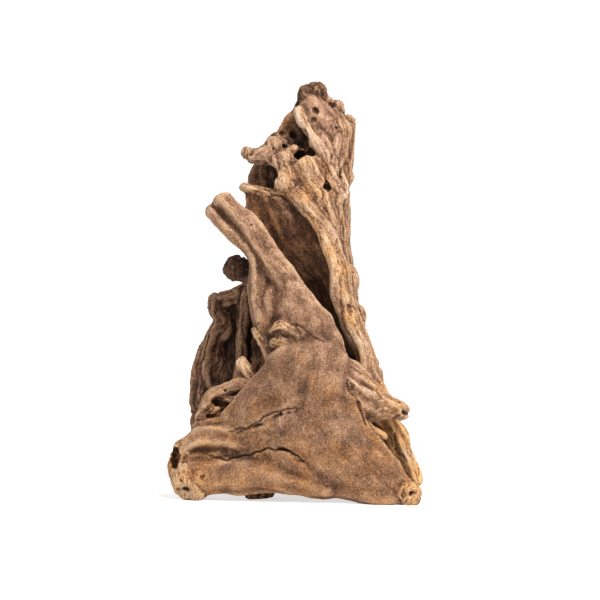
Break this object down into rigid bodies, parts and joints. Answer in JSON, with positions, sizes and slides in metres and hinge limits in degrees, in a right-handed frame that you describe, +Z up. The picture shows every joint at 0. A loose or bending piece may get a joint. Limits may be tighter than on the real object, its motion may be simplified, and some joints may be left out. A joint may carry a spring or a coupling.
{
  "type": "piece of driftwood",
  "caption": "Weathered stump of driftwood that stands upright: a torn hollow trunk with ridged sides and a cut branch, on broad gnarled spreading roots.",
  "frame": {"origin": "on the floor, under the middle of the bounding box of the standing piece", "axes": "+Z up along the trunk, -Y towards the side with the broad plate-like root, +X towards the low tip of that root"},
  "size_m": [0.1251, 0.1344, 0.2041],
  "materials": {
    "wood": "weathered, matt"
  },
  "bodies": {
    "root": {"driftwood": "wood"}
  },
  "joints": []
}
